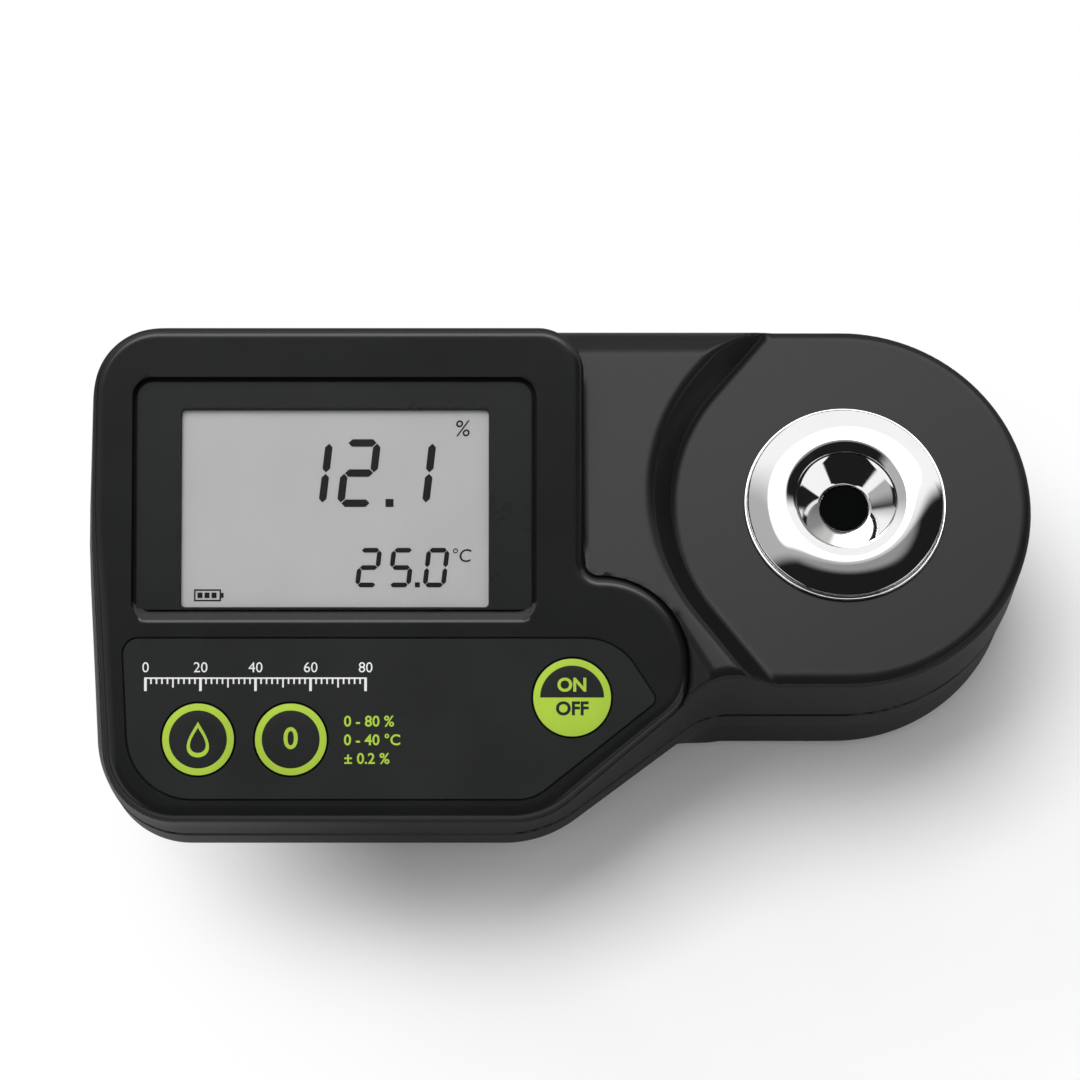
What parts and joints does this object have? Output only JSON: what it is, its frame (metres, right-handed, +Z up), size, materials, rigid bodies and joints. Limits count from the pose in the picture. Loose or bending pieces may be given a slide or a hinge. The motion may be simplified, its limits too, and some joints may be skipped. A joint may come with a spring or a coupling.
{
  "type": "digital refractometer",
  "caption": "Bench digital refractometer with a tilted display and keypad panel, round keys and a steel sample well over a glass prism.",
  "frame": {"origin": "centre of the underside, under the middle of the bounding box", "axes": "+X towards the sample well, +Y to the rear, +Z up"},
  "size_m": [0.1919, 0.1014, 0.067],
  "materials": {
    "case_plastic": "fine satin grain, dark grey",
    "panel_plastic": "smooth satin black",
    "overlay_film": "fine matte film",
    "key_plastic": "smooth matte film over plastic",
    "window_plastic": "clear, tinted at the border",
    "display_glass": "grey reflective display",
    "optic_glass": "polished",
    "polished_steel": "mirror polished stainless steel",
    "screw_steel": "plain",
    "nut_brass": "turned",
    "soft_rubber": "matte",
    "inner_plastic": "plain",
    "board_green": "solder mask",
    "component_black": "plain",
    "connector_cream": "plain",
    "battery_shell": "printed steel jacket",
    "lead_red": "insulated wire",
    "lead_black": "insulated wire"
  },
  "bodies": {
    "case": {"upper_case": "case_plastic", "lower_case": "case_plastic", "case_gasket": "soft_rubber", "front_panel": "panel_plastic", "display_window": "window_plastic", "keypad_overlay": "overlay_film", "lcd_glass": "display_glass", "lcd_holder": "inner_plastic", "contact_strip_rear": "soft_rubber", "contact_strip_front": "soft_rubber", "read_switch": "component_black", "zero_switch": "component_black", "power_switch": "component_black", "main_board": "board_green", "processor": "component_black", "ribbon_socket": "connector_cream", "board_screw_1": "screw_steel", "board_screw_2": "screw_steel", "board_screw_3": "screw_steel", "board_screw_4": "screw_steel", "well_ring": "polished_steel", "well_seal": "soft_rubber", "well_nut": "nut_brass", "sample_prism": "optic_glass", "optics_housing": "inner_plastic", "lens_barrel": "inner_plastic", "lens": "optic_glass", "sensor_board": "board_green", "image_sensor": "component_black", "led": "window_plastic", "temperature_probe": "polished_steel", "optics_screw_1": "screw_steel", "optics_screw_2": "screw_steel", "optics_screw_3": "screw_steel", "ribbon_cable": "connector_cream", "battery": "battery_shell", "battery_snap": "soft_rubber", "red_lead": "lead_red", "black_lead": "lead_black", "case_screw_1": "screw_steel", "case_screw_2": "screw_steel", "case_screw_3": "screw_steel", "case_screw_4": "screw_steel", "case_screw_5": "screw_steel", "case_screw_6": "screw_steel", "foot_1": "soft_rubber", "foot_2": "soft_rubber", "foot_3": "soft_rubber", "foot_4": "soft_rubber"},
    "read_body": {"read_key": "key_plastic"},
    "zero_body": {"zero_key": "key_plastic"},
    "power_body": {"power_key": "key_plastic"},
    "cover_body": {"battery_cover": "case_plastic"}
  },
  "joints": [
    {"name": "read_press", "type": "slide", "parent": "case", "child": "read_body", "axis": [0, 0.2419, -0.9703], "range_m": [0, 0.0004], "stiffness_N_per_m": 3000},
    {"name": "zero_press", "type": "slide", "parent": "case", "child": "zero_body", "axis": [0, 0.2419, -0.9703], "range_m": [0, 0.0004], "stiffness_N_per_m": 3000},
    {"name": "power_press", "type": "slide", "parent": "case", "child": "power_body", "axis": [0, 0.2419, -0.9703], "range_m": [0, 0.0004], "stiffness_N_per_m": 3000},
    {"name": "cover_turn", "type": "hinge", "parent": "case", "child": "cover_body", "pos_m": [-0.05, 0.002, 0.00305], "axis": [0, 0, 1], "range_deg": [0, 50]}
  ]
}
